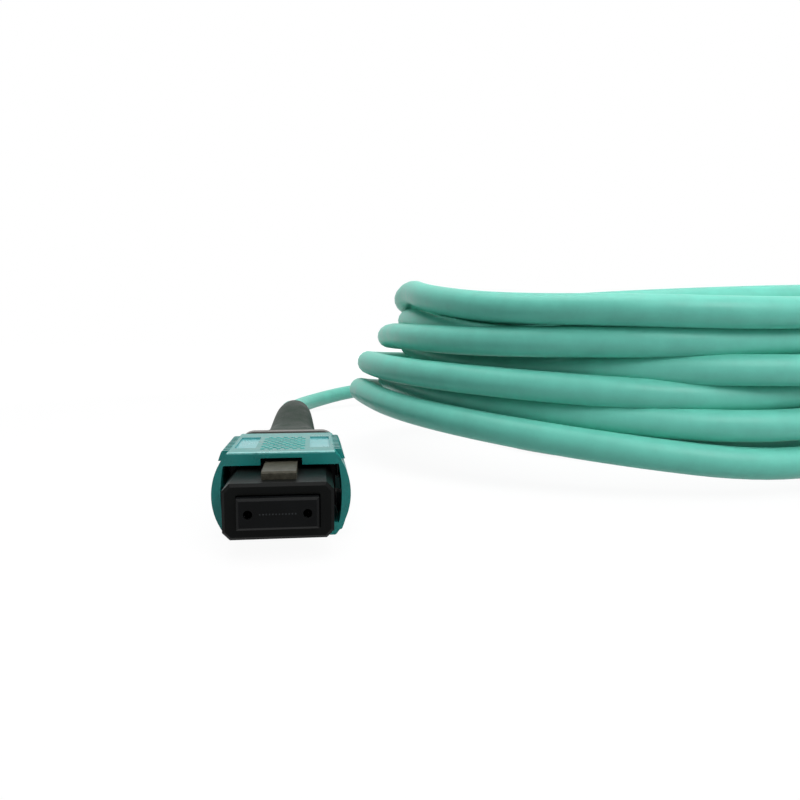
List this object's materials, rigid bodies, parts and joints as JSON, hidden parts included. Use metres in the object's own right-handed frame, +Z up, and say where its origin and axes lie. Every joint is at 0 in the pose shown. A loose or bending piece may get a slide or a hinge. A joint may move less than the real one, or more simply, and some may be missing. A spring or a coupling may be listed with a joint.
{
  "type": "mpo fibre connector",
  "caption": "Female multi-fibre push-on plug with a spring-loaded ferrule and sliding coupling sleeve, on a coiled round patch cord that has the same plug on its far end.",
  "frame": {"origin": "centre of the near plug's coupling sleeve, on its flat underside", "axes": "-Y out of the near plug's nose, +Y along the plug to its cable, +X to the plug's right seen from the front, +Z up through the key"},
  "size_m": [0.12, 0.1495, 0.0245],
  "materials": {
    "aqua_plastic": "satin",
    "black_plastic": "satin",
    "ferrule_plastic": "polished end face",
    "grey_plastic": "satin",
    "boot_rubber": "matte",
    "ferrule_rubber": "matte",
    "steel": "bright",
    "nickel": "satin nickel",
    "aramid": "matte yarn",
    "ribbon": "gloss",
    "aqua_jacket": "satin"
  },
  "bodies": {
    "root": {"inner_housing": "black_plastic", "ferrule_spring": "steel", "sleeve_spring_left": "steel", "sleeve_spring_right": "steel", "rear_body": "grey_plastic", "aramid_yarn": "aramid", "crimp_ring": "nickel", "strain_relief_boot": "boot_rubber", "far_inner_housing": "black_plastic", "far_ferrule_spring": "steel", "far_sleeve_spring_left": "steel", "far_sleeve_spring_right": "steel", "far_rear_body": "grey_plastic", "far_aramid_yarn": "aramid", "far_crimp_ring": "nickel", "far_strain_relief_boot": "boot_rubber", "cable_lead": "aqua_jacket", "cable_coil": "aqua_jacket", "cable_tail": "aqua_jacket"},
    "sleeve": {"coupling_sleeve": "aqua_plastic"},
    "far_sleeve": {"far_coupling_sleeve": "aqua_plastic"},
    "ferrule": {"mt_ferrule": "ferrule_plastic", "pin_keeper": "steel", "ferrule_boot": "ferrule_rubber", "fibre_ribbon": "ribbon"},
    "far_ferrule": {"far_mt_ferrule": "ferrule_plastic", "far_pin_keeper": "steel", "far_ferrule_boot": "ferrule_rubber", "far_fibre_ribbon": "ribbon"}
  },
  "joints": [
    {"name": "sleeve_slide", "type": "slide", "parent": "root", "child": "sleeve", "axis": [0, 1, 0], "range_m": [0, 0.0028], "stiffness_N_per_m": 500, "springref_m": -0.002, "deforming": ["sleeve_spring_left", "sleeve_spring_right"]},
    {"name": "ferrule_float", "type": "slide", "parent": "root", "child": "ferrule", "axis": [0, 1, 0], "range_m": [0, 0.0006], "stiffness_N_per_m": 3000, "springref_m": -0.0026, "deforming": ["ferrule_spring"]},
    {"name": "far_sleeve_slide", "type": "slide", "parent": "root", "child": "far_sleeve", "axis": [0, 1, 0], "range_m": [0, 0.0028], "stiffness_N_per_m": 500, "springref_m": -0.002, "deforming": ["far_sleeve_spring_left", "far_sleeve_spring_right"]},
    {"name": "far_ferrule_float", "type": "slide", "parent": "root", "child": "far_ferrule", "axis": [0, 1, 0], "range_m": [0, 0.0006], "stiffness_N_per_m": 3000, "springref_m": -0.0026, "deforming": ["far_ferrule_spring"]}
  ]
}
